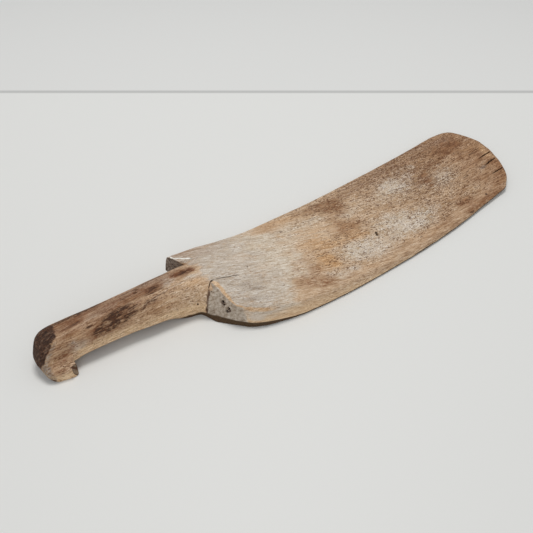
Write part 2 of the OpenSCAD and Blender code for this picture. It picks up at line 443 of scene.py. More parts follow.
def to_path(p, path):
    """Distance to a path of points, and how far along it the nearest place is, from 0 to 1."""
    path = np.array(path, float)
    seg = np.linalg.norm(np.diff(path, axis=0), axis=1)
    run = np.concatenate([[0], np.cumsum(seg)])
    best, along = np.full(len(p), 1e9), np.zeros(len(p))
    for k in range(len(seg)):
        a, d = path[k], path[k + 1] - path[k]
        f = clamp01(((p - a) @ d) / (d @ d))
        dist = np.linalg.norm(p - a - f[:, None] * d, axis=1)
        near = dist < best
        best = np.where(near, dist, best)
        along = np.where(near, (run[k] + f * seg[k]) / run[-1], along)
    return best, along


# ---------------------------------------------------------------- marks of use and age
# drying checks: path in mm, width, depth
CHECKS = [
    ([(-112.4, -22.6, 21.5), (-110.5, -20.0, 25), (-107, -16.4, 28.8), (-104.5, -13.9, 29.8), (-101.5, -12.9, 29.8),
      (-96, -13.2, 29.3), (-88, -15.3, 28.5), (-78, -17.8, 27.7), (-68, -20.4, 27.0), (-57, -23.2, 25.8), (-47, -25.4, 24.8)], 0.8, 1.4),
    ([(-117.3, -27, 3), (-116.5, -26.4, 8), (-115.3, -25.2, 13), (-113.6, -23.6, 18.5), (-112, -22, 22.5)], 1.0, 1.3),
    ([(-109.5, -21.2, 25), (-107.5, -18.6, 28), (-104, -15.9, 29.4), (-101.0, -15.2, 29.4)], 0.6, 0.7),
    ([(266, 13.6, 9), (255, 12.0, 9), (241, 9.2, 9)], 1.3, 2.4),
    ([(264, 2.6, 9), (254, 1.0, 9), (246, -1.4, 9), (239, -3.4, 9)], 1.4, 2.6),
    ([(262, -13.4, 8), (249, -15.2, 8), (234, -17.0, 8)], 1.1, 1.9),
    ([(217, -5.2, 9), (206, -6.6, 9)], 0.8, 1.0),
    ([(250, 22, 9), (236, 20.5, 9)], 0.8, 1.0),
    ([(259, 24.5, 9), (247, 24.0, 9)], 0.7, 1.0),
]
# worm holes: place in mm, radius, depth
HOLES = [
    ((-103.2, -33.5, 20.5), 1.7, 3.4), ((-104.0, -35.6, 18.4), 1.2, 2.6), ((-101.6, -40.6, 16.5), 1.7, 3.6),
    ((-102.6, -39.8, 12.8), 1.8, 3.6), ((-107.5, -21.8, 25.2), 0.9, 1.6), ((-122.0, -21.0, 16.0), 1.0, 2.6),
    ((72.6, -29.7, 15.0), 1.5, 3.0), ((71.5, -32.3, 15.0), 1.4, 2.8), ((-250.0, -19.0, 12.0), 0.9, 2.2),
    ((233.0, -38.0, 6.5), 1.1, 1.8), ((-77.0, 8.0, 27.5), 0.6, 1.2), ((-65.0, -12.0, 26.4), 0.6, 1.2),
    ((250.5, 46.0, 8.6), 0.7, 1.4), ((183.0, -47.5, 4.0), 1.0, 1.6), ((-160.0, 23.0, 16.0), 1.0, 2.6),
    ((-40.0, 46.0, 10.0), 1.0, 2.4), ((30.0, 10.0, 0.0), 1.1, 2.6), ((96.0, -18.0, 0.0), 1.0, 2.4),
    ((-30.0, -20.0, 0.4), 1.2, 2.8), ((150.0, 22.0, 0.0), 0.9, 2.2), ((34.0, -66.0, 5.0), 0.8, 2.0),
]


def near_features(p, reach):
    hit = np.zeros(len(p), bool)
    for path, width, depth in CHECKS:
        hit |= to_path(p, path)[0] < reach + width
    for place, radius, depth in HOLES:
        hit |= np.linalg.norm(p - np.array(place), axis=1) < reach + 1.5 + radius
    hit |= (to_path(p * [1, 1, 0], TORN)[0] < reach) & (p[:, 2] > 20)
    if reach > 0.5:
        hit |= np.linalg.norm(p - np.array([-241.5, -23.0, 6.0]), axis=1) < 5.5
    return hit


def chop(v, point, normal, where):
    """Cuts the wood flat at a plane inside a region; gives how far each place stood out."""
    normal = np.array(normal, float) / np.linalg.norm(normal)
    out = np.maximum(0.0, (v - np.array(point)) @ normal) * where
    return v - out[:, None] * normal, out


def chips(v):
    """The blunt end of the hook, and the hollow above it."""
    hollow = smooth((v[:, 0] + 251) / 8) * smooth((-233.5 - v[:, 0]) / 4.5) * smooth((v[:, 1] + 22.3) / 4.6)
    hollow = hollow * smooth((15 - v[:, 2]) / 5) * smooth((-2 - v[:, 1]) / 9)
    v = v - hollow[:, None] * [2.6, 0, 0]
    region = smooth((v[:, 0] + 245.0) / 1.5) * (v[:, 0] < -236) * smooth((-21.8 - v[:, 1]) / 1.6)
    v, cut = chop(v, (-243.2, -24.1, 4.6), (0.36, -0.88, 0.32), region)
    return v, smooth((cut - 0.08) / 0.7)


def build():
    v, tris = skin()
    v = relax(v, tris, 2, 0.5)
    v = v + SHIFT
    v, tris = refine(v, tris, lambda m, d: (d > 0.9) & near_features(m, 1.4))
    v, tris = refine(v, tris, lambda m, d: (d > 0.5) & near_features(m, 0.7))
    v, tris = refine(v, tris, lambda m, d: (d > 0.32) & near_features(m, 0.3))
    v, stub = chips(v)
    n = normals_of(v, tris)
    g = grain_space(v)
    # knife-cut facets, wear and the raised grain of dry wood
    push = 0.30 * fractal(v / [34, 20, 20], 11) + 0.13 * fractal(v / [9, 7, 7], 12)
    push += 0.09 * fractal(g / [24, 1.9, 1.9], 13, 2)
    marks = np.zeros(len(v))
    for path, width, depth in CHECKS:
        warped = v + 0.2 * np.stack([noise(v / 3.0, 21), noise(v / 3.0, 22), noise(v / 3.0, 23)], -1)
        d, a = to_path(warped, path)
        taper = smooth((1 - a) / 0.55) * (0.75 + 0.25 * smooth(a / 0.1))
        open_ = 1 - smooth(d / (width * (0.4 + 0.5 * taper)))
        marks = np.maximum(marks, open_ * taper)
        push -= depth * taper * open_
    pits = np.zeros(len(v))
    for place, radius, depth in HOLES:
        d = np.linalg.norm((v - np.array(place)) + 0.2 * noise(v / 1.1, 29)[:, None], axis=1)
        inside = 1 - smooth((d - 0.35 * radius) / (0.75 * radius))
        pits = np.maximum(pits, inside)
        push -= depth * inside
    v = v + n * push[:, None]
    flat = v[:, 2] < 0.02
    v[flat, 2] = 0.0
    lo, hi = np.array(CAD_BOX) * 1000
    v = np.clip(v, lo, hi)
    fields = paint(v, n, stub)
    fields.update(check=marks, pit=pits)
    return v, tris, fields


def make_mesh(name, v, tris, fields):
    me = bpy.data.meshes.new(name)
    me.vertices.add(len(v))
    me.vertices.foreach_set("co", (v / 1000).astype(np.float32).ravel())
    me.loops.add(len(tris) * 3)
    me.loops.foreach_set("vertex_index", tris.astype(np.int32).ravel())
    me.polygons.add(len(tris))
    me.polygons.foreach_set("loop_start", np.arange(0, len(tris) * 3, 3, dtype=np.int32))
    me.polygons.foreach_set("use_smooth", np.ones(len(tris), bool))
    me.update()
    me.validate()
    for key, values in fields.items():
        if values.ndim == 1:
            me.attributes.new(key, "FLOAT", "POINT").data.foreach_set("value", values.astype(np.float32))
        else:
            me.attributes.new(key, "FLOAT_VECTOR", "POINT").data.foreach_set("vector", values.astype(np.float32).ravel())
    ob = bpy.data.objects.new(name, me)
    bpy.context.scene.collection.objects.link(ob)
    return ob


# ---------------------------------------------------------------- colour of age, with painted light and shade
# Each soft patch is (x, y, half length along the grain, half width, strength), in mm on the upper
# face; with a sixth number, that is its height and it counts as a place in space.
PATCHES = {
    "pale": [(-152, 14, 22, 5, 0.4), (-140, 4, 20, 4, 0.3), (-232, -12, 9, 3, 0.7), (185, 8, 26, 16, 0.4), (150, 40, 34, 12, 0.35), (-128, -12, 12, 4, 0.3), (-165, 10, 24, 6, 0.4), (12, 8, 26, 16, 0.55), (22, -6, 22, 13, 0.5), (0, 6, 30, 16, 0.45), (10, -8, 22, 10, 0.3), (-18, -34, 12, 14, 0.4), (98, -24, 40, 14, 0.35),
             (118, 8, 34, 12, 0.35), (28, 14, 12, 6, 0.45), (66, 7, 12, 7, 0.4), (10, -58, 9, 4, 0.45), (-24, -43, 9, 6, 0.6),
             (-16, -17, 6, 8, 0.6), (104, -30, 26, 14, 0.3), (-139, 6, 6, 8, 0.5), (46, -40, 30, 15, 0.75), (112, -34, 34, 12, 0.5), (132, 18, 22, 14, 0.4), (-212, 4, 9, 4, 0.4), (-104, -6, 10, 6, 0.5),
             (114, -34, 22, 9, 0.45), (128, 20, 12, 9, 0.5),
             (-118, 0, 8, 3, 0.6), (8, 0, 20, 14, 0.25), (85, 20, 24, 12, 0.2), (190, 6, 24, 14, 0.25),
             (150, -20, 24, 14, 0.2)],
    "mauve": [(-98, 38, 34, 5, 0.65), (-98, 30, 28, 10, 0.5), (-55, 36, 30, 5, 0.3), (-112, 15, 10, 8, 0.4), (-205, 8, 60, 12, 0.8),
              (-150, 12, 35, 8, 0.5), (110, 42, 40, 14, 0.4), (160, 52, 45, 12, 0.4), (205, 58, 34, 11, 0.45),
              (150, 42, 20, 10, 0.25), (82, 38, 20, 10, 0.25), (235, 56, 16, 10, 0.5)],
    "white": [(54, -44, 20, 11, 0.35), (114, -34, 26, 12, 0.35), (132, 19, 17, 12, 0.35), (50, -42, 14, 9, 0.55), (62, -48, 9, 6, 0.45), (36, -50, 8, 5, 0.3), (10, -57, 12, 5, 0.4),
              (1, -52, 4, 2, 0.5), (26, -57, 9, 3, 0.65), (129, 20, 8, 7, 0.6), (146, 18, 10, 9, 0.3),
              (157, 27, 9, 6, 0.4), (171, 36, 6, 4, 0.5), (112, -38, 14, 6, 0.55), (124, -36, 6, 4, 0.35),
              (95, -17, 10, 6, 0.4), (118, -16, 7, 5, 0.35), (100, -31, 14, 9, 0.5), (84, -45, 12, 6, 0.4),
              (-66, 1, 10, 8, 0.45), (-16, -18, 4, 7, 0.5), (64, 7, 8, 4, 0.4), (-113, -1, 6, 3, 0.4), (-104, 2, 7, 4, 0.35),
              (-134, -3, 16, 1.1, 0.45), (-83.5, -58.2, 4.5, 3.6, 1.0, 11), (-88, -56, 3, 3, 0.8, 12), (-79, -60, 3, 2.5, 0.8, 11), (190, 8, 20, 10, 0.22), (60, -34, 10, 4, 0.45), (40, -33, 8, 3, 0.35),
              (-50, -20, 14, 8, 0.25), (128, -36, 8, 5, 0.4), (-90, 8, 10, 6, 0.25), (150, -28, 14, 6, 0.25)],
    "ochre": [(22, 2, 22, 12, 0.25), (24, -12, 18, 8, 0.3), (56, -14, 14, 9, 0.5), (8, -38, 9, 9, 0.95), (12, -46, 6, 3, 0.8), (4, -31, 5, 2, 0.6), (5, -12, 22, 8, 0.5),
              (20, -22, 18, 6, 0.65), (12, 5, 22, 9, 0.4), (-22, -16, 8, 6, 0.35), (50, -24, 20, 5, 0.5),
              (44, -3, 10, 12, 0.3), (-4, -45, 7, 6, 0.45), (-232, -5, 11, 4, 0.35), (-150, -13, 28, 4, 0.3),
              (262, 18, 5, 16, 0.6), (256, -16, 8, 9, 0.7), (250, 28, 8, 6, 0.4), (240, -30, 12, 5, 0.4),
              (120, -52, 40, 4, 0.35), (40, -60, 40, 4, 0.3), (10, 33, 20, 5, 0.35), (-5, 31, 24, 8, 0.4), (-20, 0, 10, 8, 0.25), (-118, -8, 8, 4, 0.45)],
    "brown": [(56, 20, 15, 11, 0.7), (54, -12, 15, 11, 0.6), (66, -9, 10, 8, 0.35), (-22, -53, 17, 8, 0.4), (-8, -44, 10, 10, 0.45),
              (-4, -60, 14, 4, 0.5), (66, 36, 20, 9, 0.4), (34, 34, 26, 6, 0.35), (232, 44, 22, 9, 0.95), (205, 50, 26, 6, 0.5),
              (172, 12, 12, 10, 0.65), (192, 28, 10, 4, 0.6), (206, -42, 26, 5, 0.75), (257, -13, 9, 12, 0.85), (252, 20, 9, 12, 0.5),
              (130, 44, 30, 6, 0.2), (222, 8, 20, 7, 0.35), (228, -16, 18, 8, 0.5), (58, 20, 7, 6, 0.6), (64, 28, 12, 7, 0.4), (56, 26, 8, 6, 0.3),
              (46, 0, 7, 11, 0.4), (43, -12, 6, 6, 0.4), (188, -34, 9, 7, 0.6), (225, -30, 10, 6, 0.4), (238, -30, 8, 5, 0.5),
              (38, 30, 14, 8, 0.25), (-18, 33, 14, 6, 0.35), (-198, -12, 20, 4, 0.5), (-252, -18, 8, 5, 0.5, 9), (-236, -13, 12, 5, 0.35, 18),
              (-14, 20, 6, 6, 0.35), (-15, -28, 10, 3, 0.4), (-29, -35, 5, 4, 0.4), (-8, -41, 6, 5, 0.4),
              (-24, -50, 12, 5, 0.3), (-6, -59, 7, 4, 0.4), (258, -2, 6, 9, 0.4), (246, -24, 9, 6, 0.45),
              (48, 32, 9, 5, 0.3), (-254, -20, 8, 4, 0.35, 6), (141, -50, 20, 3, 0.4), (85, -57, 24, 3, 0.35),
              (174, 19, 6, 3, 0.85), (180, 24, 3, 2, 0.5), (171, 8, 5, 2.4, 0.8), (170, 1, 4, 2, 0.8),
              (150, 17, 4, 3, 0.5), (110, -8, 5, 3, 0.5), (112, -1, 6, 3, 0.35), (137, 10, 2, 2, 0.4),
              (158, 9, 8, 3, 0.35), (203, 27, 4, 1.8, 0.7), (193, 22, 3, 1.6, 0.8), (210, 32, 5, 1.8, 0.7),
              (222, 38, 8, 4, 0.95), (232, 43, 8, 3, 0.7), (240, 45, 7, 4.5, 0.95), (236, 51, 9, 2, 0.6),
              (228, 54, 8, 2, 0.5), (215, 44, 16, 3, 0.45), (186, -34, 9, 4, 0.75), (176, -36, 5, 3, 0.45),
              (215, -42, 18, 2.4, 0.8), (190, -47, 16, 2, 0.7), (258, -8, 5, 4, 0.7), (250, -24, 6, 3, 0.4),
              (252, 16, 6, 3, 0.4), (245, 8, 6, 3, 0.4), (225, 22, 10, 2, 0.35), (165, 46, 9, 5, 0.35),
              (146, 44, 5, 3, 0.35), (198, 44, 7, 1.5, 0.4), (245, 60, 10, 5, 0.4), (-228, 6, 16, 6, 0.55),
              (-203, 12, 25, 5, 0.4), (-185, 3, 15, 4, 0.65), (-162, 8, 8, 6, 0.5), (-150, 5, 9, 6, 0.75),
              (-124, 10, 9, 5, 0.9), (-122, 3, 8, 1.5, 0.4), (-172, 4, 10, 3, 0.5), (-196, -4, 20, 4, 0.65),
              (-216, -8, 12, 3, 0.55), (-250, -9, 14, 2, 0.4), (-235, -11, 12, 1.2, 0.3), (-240, 10, 10, 8, 0.5)],
    "rust": [(-233, -4, 10, 3.5, 0.3), (-225, 12, 24, 4, 0.6), (-185, 9, 20, 3, 0.45), (-250, -14, 9, 3, 0.35), (-210, -12, 20, 1.6, 0.45),
             (-246, -21, 9, 2, 0.4, 6), (-121, 9, 10, 3.4, 0.95), (-131, 10, 4, 3, 0.9), (-114, 8.5, 4, 3.5, 0.9), (-154, 4.5, 9, 4.5, 0.85),
             (-190, -6, 22, 4, 0.7), (-214, -9.5, 8, 2.5, 0.7), (-160, -9, 14, 1.6, 0.4), (-228, 4.5, 9, 3, 0.55),
             (-165, 13, 3, 3, 0.6), (-246, -12, 10, 1.2, 0.5), (-244, -17, 8, 1, 0.4),
             (-170, 9, 3, 2, 0.4), (222, 38, 6, 3, 0.4), (240, 45, 5, 3, 0.45), (203, 27, 2.5, 1.2, 0.5),
             (-225, 5, 6, 1.6, 0.4), (-190, 2, 14, 3, 0.35), (55, 18, 6, 3, 0.3), (-236, -4, 8, 2, 0.5)],
    "dark": [(-103, -34.5, 3.5, 2.6, 0.6, 19.5), (-102, -40.5, 3, 2.6, 0.7, 14.5), (-121, 9, 7, 3, 0.6), (-153, 5, 8, 3.5, 0.6), (-198, -11.5, 14, 2.2, 0.45), (-222, 15, 20, 2.5, 0.7), (-235, 3, 8, 1.2, 0.5), (-180, 8, 7, 1, 0.5), (-198, 2, 10, 0.8, 0.45), (-190, -4, 13, 3.6, 1.0), (-200, -5.5, 9, 2.2, 0.8), (-252, -2, 6, 1.0, 0.5), (-238, -9.5, 9, 0.8, 0.35),
             (-228, -11.5, 7, 0.7, 0.35), (-160, -8, 9, 1.0, 0.6), (-147, -5.5, 8, 0.8, 0.5), (-171, -9.5, 10, 0.8, 0.6),
             (-198, -9.5, 8, 1.2, 0.75), (-207, -8.5, 6, 1.4, 0.7), (-158, 1, 8, 1.5, 0.6), (-240, 16, 14, 2.2, 0.6),
             (-166, 12.5, 3, 2, 0.6), (-178, 13, 8, 1.2, 0.4), (-205, 15.5, 20, 1.6, 0.5), (-148, 16.5, 20, 1.6, 0.45), (-212, -10, 6, 1.8, 0.8), (-218, -5.5, 4, 1, 0.7),
             (-183, -9, 6, 1.4, 0.85), (-190, -11, 10, 1, 0.5), (-176, -6, 6, 1.5, 0.5), (-226, 4, 4, 1.2, 0.85),
             (-152, 0, 9, 1.3, 0.75), (-160, -6, 9, 0.9, 0.5), (-168, 9, 2, 1.2, 0.8), (-131, 10, 2, 1.8, 0.5),
             (-120, 8, 6, 2, 0.4), (-114, 7, 2, 2, 0.4), (-180, 4, 5, 1, 0.4), (-171, 1, 7, 1, 0.4),
             (-205, -12, 8, 0.8, 0.5), (-178, 2, 5, 0.9, 0.4), (191.5, 22, 2, 0.9, 0.75), (200.8, 26.7, 2, 1, 0.9),
             (209, 32, 3, 0.9, 0.45), (214, -38, 1.4, 2.4, 0.95), (214, -36, 1, 1.4, 0.4), (184, -49, 4, 0.9, 0.9),
             (141, -49, 2.2, 0.8, 0.65), (111, -53, 3.2, 0.8, 0.65), (81, 44.5, 3, 0.9, 0.55), (-10, 16.5, 1.4, 1.4, 0.75),
             (-77.5, 8.2, 1, 1.6, 0.55), (-65, -12.6, 1, 0.9, 0.65), (20, 6.5, 2.2, 1.2, 0.5), (3, -31, 4, 0.7, 0.65),
             (-1, -40, 2.4, 0.6, 0.5), (4, -44, 4, 0.6, 0.5), (11, -40, 3, 0.5, 0.5), (72.2, -31, 1.5, 2.3, 1.0),
             (250.5, 46, 1.6, 1, 0.65), (212, -6.6, 5, 0.7, 0.55), (238, 51, 5, 0.7, 0.45), (233, 49, 4, 0.6, 0.45),
             (170, -27, 7, 0.8, 0.45), (186, -26, 5, 0.6, 0.45), (150, -17, 4, 0.8, 0.5), (141, -19, 2, 1, 0.5),
             (163, -17, 3, 0.6, 0.4), (-40, 1.5, 1, 1, 0.45), (-96, -2, 1, 1, 0.3), (38, 19, 2, 1.5, 0.3),
             (45, 20, 2, 1.5, 0.3), (252, -20, 5, 0.6, 0.5), (250, -23, 4, 0.5, 0.4), (244, -7.5, 5, 0.6, 0.4)],
    "grey": [(-80, -30, 12, 3, 0.5), (-72, -38, 12, 3, 0.55), (-86, -45, 8, 2.5, 0.45), (-66, -25, 10, 2, 0.35),
             (-60, -36, 9, 2.5, 0.35), (-88, -36, 6, 2, 0.35), (-90, -22, 8, 2, 0.3), (240, -3, 6, 2.6, 0.85),
             (246, 3.5, 8, 2, 0.3), (-208, 4, 12, 3, 0.35), (-76, -47, 10, 2.5, 0.4)],
    "knot": [(-203, -8, 3.6, 1.3, 0.9), (-190, -10.4, 2.0, 0.7, 0.9), (-175, -7.5, 1.6, 0.6, 0.9), (-252, -4, 1, 0.8, 1)],
}
# where the greyed root gives way to browner wood: x at each y, in mm
PALE_EDGE = [[-75, -50], [-60, -42], [-50, -36], [-42, -26], [-36, -33], [-28, -30], [-18, -16], [-5, -13], [8, -14],
             [20, -23], [32, -31], [42, -36]]
# lines of rubbed or torn wood along arrises and edges, and lines of painted shade in creases with dark lines along
# edges: path in mm, half width, strength
TORN = [(-121.0, 40.4, 0), (-119.7, 38.6, 0), (-119.2, 34.8, 0), (-117.0, 32.4, 0), (-112.8, 30.0, 0), (-107.6, 26.2, 0),
        (-101.8, 22.0, 0)]
LINES_OF = {
    "rubbed": [([(-104.5, -15.2, 29.3), (-101.5, -16, 29.3), (-100.5, -20, 28), (-99.5, -29, 26), (-98.5, -38, 24), (-96.5, -45, 21.5),
                 (-91, -50.5, 20), (-84, -54, 18.5), (-75, -58.5, 17.5), (-66, -62, 16.5), (-56, -64.8, 15.5)], 2.3, 0.95),
               ([(254, 52, 7.6), (257, 46, 7.5), (263, 32, 7), (267, 14, 7), (266, 0, 7), (261, -16, 7), (253, -30, 6)],
                1.3, 0.7),
               ([(-104, -11.5, 30.2), (-110, -8, 31), (-120, -6, 31.5), (-134, -5, 31.8)], 1.3, 0.55)],
    # painted shade in the crease where the near shoulder meets the handle; dark lines along the butt's lower edge and
    # the far edges of handle and blade
    "crease_shade_and_dark_lines": [([(-117.3, -27, 3), (-115.3, -25.2, 13), (-112.5, -22.5, 21.5), (-107.5, -16.6, 28.6)], 1.9, 0.75),
             ([(-267.6, -3, 7), (-266.6, -10, 5), (-264.8, -15.5, 3.5), (-261, -21, 2.5), (-256, -23.8, 2.5)], 2.2, 0.95),
             ([(-261, 18, 14), (-254, 21, 16), (-240, 21, 18), (-200, 19.5, 20), (-150, 20.5, 20), (-110, 22.5, 20)], 1.6, 0.75),
             ([(-30, 42, 18), (0, 43, 17), (40, 46, 15), (90, 52, 12), (140, 58, 10), (190, 65, 9)], 0.9, 0.5)],
}


def paint(v, n, stub):
    wob = np.stack([3.2 * noise(v / [15, 9, 9], 41) + 1.8 * noise(v / [6, 3.5, 3.5], 42),
                    2.2 * noise(v / [15, 9, 9], 43) + 1.4 * noise(v / [5, 3, 3], 44),
                    1.0 * noise(v / 9, 45)], -1)
    small = np.stack([0.6 * noise(v / 3.0, 46), 0.4 * noise(v / 2.4, 47), 0.4 * noise(v / 2.4, 48)], -1)
    up = smooth((n[:, 2] + 0.15) / 0.45)
    out = {}
    for kind, marks in PATCHES.items():
        left = np.ones(len(v))
        for mark in marks:
            x, y, a, b, strength = mark[:5]
            size = min(1.0, max(0.0, (b - 1.0) / 5.0))
            q = v + wob * size + small * (1 - size)
            here = np.array([[x, y, mark[5] if len(mark) > 5 else 0.0]])
            gq, gh = grain_space(q), grain_space(here)
            r = ((gq[:, 0] - gh[0, 0]) / a) ** 2 + ((gq[:, 1] - gh[0, 1]) / b) ** 2
            if len(mark) > 5:
                r = r + ((q[:, 2] - mark[5]) / b) ** 2
            m = strength * np.exp(-0.9 * r ** mix(1.6, 1.0, size))
            left = left * (1 - (m if len(mark) > 5 else m * up))
        out[kind] = 1 - left
    for kind, paths in LINES_OF.items():
        m = np.zeros(len(v))
        for path, half, strength in paths:
            d, along = to_path(v + small * 1.4, path)
            ends = smooth(along / 0.04) * smooth((1 - along) / 0.25)
            m = np.maximum(m, strength * ends * (1 - smooth((d - 0.3 * half) / (0.9 * half))))
        out[kind] = m
    x, y, z = v.T
    # the splinter torn along the far shoulder's upper arris, seen in plan: pale torn wood painted near white, partly a
    # painted highlight
    d, along = to_path((v + 0.35 * wob) * [1, 1, 0], TORN)
    out["torn"] = (1 - smooth((d - 0.45) / 0.6)) * smooth((n[:, 2] - 0.1) / 0.3) * smooth((1 - along) / 0.2)
    # the greyed, scrubbed root of the blade
    q = v + wob * [2.6, 1.6, 1]
    end = np.interp(q[:, 1], *np.array(PALE_EDGE).T)
    start = np.where(y < -5, -103.0, -108.0) - 4 * smooth((y - 5) / 15) - 16 * smooth((y - 23) / 4)
    root = smooth((end + 14 - q[:, 0]) / 27) * smooth((q[:, 0] - start + 3) / 8) * up
    out["pale"] = 1 - (1 - out["pale"]) * (1 - 0.93 * root)
    out["cream"] = smooth((x + 72 + 4 * wob[:, 0]) / 45)
    # end grain where the wood is cut across: both shoulders and the butt
    seam = (x + 105) * 0.67 - (y + 16) * 0.74
    face = smooth((-n[:, 0] - 0.22) / 0.22)
    side = np.maximum(face, smooth((0.8 - n[:, 2]) / 0.12) * smooth((9 - seam) / 3))
    near_face = side * smooth((n[:, 2] + 0.5) / 0.3) * smooth((seam + 0.2) / 0.7) * smooth((-86.5 - x + 2.5 * wob[:, 0] / 3) / 8) * smooth((-12 - y) / 3)
    # the far shoulder's end-grain face also gets painted shade
    far_face = smooth((-n[:, 0] - 0.35) / 0.25) * smooth((-98 - x) / 4) * smooth((x + 127) / 3) * smooth((y - 20.5) / 2)
    butt = smooth((-n[:, 0] - 0.16) / 0.3) * smooth((-246 - x) / 7)
    out["endg"] = np.maximum(near_face, far_face)
    out["shade"] = far_face
    slant = np.interp(y, [-14, -10, -7, -4, 0, 5, 12, 20], [-262, -257, -252.5, -248.5, -245, -243, -241.5, -243])
    butt_dark = smooth((slant + 1.6 * noise(v / [6, 5, 5], 51) + 1.2 * noise(v / 2.2, 52) - x) / 4.0)
    butt_dark = butt_dark * smooth((y + 16 + 3 * noise(v / 6, 53)) / 6) * smooth((z - 4) / 8)
    out["burnt"] = butt_dark
    out["grey"] = np.maximum(out["grey"], 0.75 * butt * (1 - butt_dark))
    out["grey"] = np.maximum(out["grey"], 0.8 * (1 - butt_dark) * smooth((slant + 5 - x) / 5) * smooth((-2 - y) / 5))
    # the hook's inner notch gets painted shade; the dark upright rim under the near edge and under the handle's root is
    # partly dirty dark wood and partly painted shade of the contact shadow along the floor
    out["crease_shade_and_dark_lines"] = np.maximum(out["crease_shade_and_dark_lines"], 0.9 * smooth((x + 246.5) / 1.2) * smooth((-238.5 - x) / 1.2)
                             * smooth((-21.4 - y) / 0.8) * smooth((y + 23.4) / 0.8))
    rim = rim_z(x - SHIFT[0]) + 0.2 * noise(v / [9, 9, 9], 54)
    thin = smooth((x + 85) / 45)
    base = smooth((rim + mix(0.0, 0.3, thin) - z) / mix(1.5, 0.6, thin)) * smooth((-n[:, 1] - 0.02) / 0.2) * smooth((x + 124) / 4)
    foot = smooth((5.2 - z) / 1.4) * smooth((x + 154) / 24) * smooth((-108 - x) / 4) * smooth((-8 - y) / 3)
    out["base"] = np.maximum(base * (y < 0), foot) * smooth((n[:, 2] + 0.85) / 0.3)
    out["stub"] = stub
    # the near side below the top: a warmer tan with painted light, lighter so that the side facing the camera shows as
    # bright as the top
    low = smooth((0.62 - n[:, 2]) / 0.5)
    near = smooth((-n[:, 1] - 0.1) / 0.4) * (1 - out["endg"]) * (1 - butt_dark)
    out["warm"] = low * near
    # the dirty underside and the lower edge
    out["under"] = smooth((-n[:, 2] - 0.1) / 0.4)
    # what the picture doesn't show gets the same kinds of marks, from noise
    under = out["under"]
    back = smooth((n[:, 1] - 0.35) / 0.4) * smooth((0.6 - n[:, 2]) / 0.5)
    c1, c2, c3 = (fractal(grain_space(v) / [46, 22, 22], k) for k in (61, 62, 63))
    out["pale"] = np.maximum(out["pale"], 0.9 * under * smooth((c1 - 0.02) / 0.35) * smooth((60 - np.abs(x + 40)) / 60))
    out["brown"] = np.maximum(out["brown"], (0.7 * under + 0.7 * back) * smooth((c2 - 0.05) / 0.4))
    out["mauve"] = np.maximum(out["mauve"], (under + back) * 0.75 * smooth((-120 - x) / 30))
    out["ochre"] = np.maximum(out["ochre"], under * 0.6 * smooth((c3 - 0.1) / 0.35))
    out["white"] = np.maximum(out["white"], under * 0.6 * smooth((fractal(v / [16, 11, 11], 64) - 0.18) / 0.3))
    out["dark"] = np.maximum(out["dark"], (under + back) * 0.6 * smooth((fractal(grain_space(v) / [15, 3, 3], 65) - 0.42) / 0.2))
    # how far along: the tip half is browner than the root, the handle browner still
    out["umber"] = np.clip(0.5 * smooth((x - 30) / 150) + 0.3 * smooth((x - 205) / 30) + 0.22 * smooth((x - 0) / 90) * smooth((y + 5) / 45)
                           + (0.16 + 0.3 * smooth((y + 4) / 8) + 0.4 * smooth((-128 - x) / 30)) * smooth((-106 - x) / 22), 0, 1)
    # where long streaks show instead of pits: along the near edge, the tip, the handle
    band = smooth((near_y(x - SHIFT[0]) + 14 + 1.5 * wob[:, 1] - y) / 8) * smooth((x + 40) / 40) * smooth((235 - x) / 30)
    out["lined"] = np.clip(0.85 * band + 0.8 * smooth((x - 196 + wob[:, 0]) / 34) + 0.5 * smooth((-135 - x) / 25), 0, 1)
    # how coarse the surface is: scrubbed smooth at the root, pitted towards the tip
    out["coarse"] = 0.52 - 0.2 * out["warm"] - 0.2 * out["white"] + 0.55 * smooth((x + 35) / 60) + 0.2 * smooth((x - 90) / 60) - 0.3 * out["endg"] + 0.3 * smooth((-108 - x) / 16)
    out["coarse"] = out["coarse"] + 0.3 * np.exp(-((x - 165) / 40) ** 2 - ((y - 8) / 26) ** 2)
    out["coarse"] = out["coarse"] + 0.25 * smooth((y - 18) / 14) * smooth((x - 15) / 30)
    calm = np.exp(-((x - 18) / 24) ** 2 - ((y + 2) / 15) ** 2)
    out["coarse"] = out["coarse"] * (1 - 0.45 * calm) * (1 - 0.55 * band) * (1 - 0.25 * smooth((x - 196) / 34))
    return out


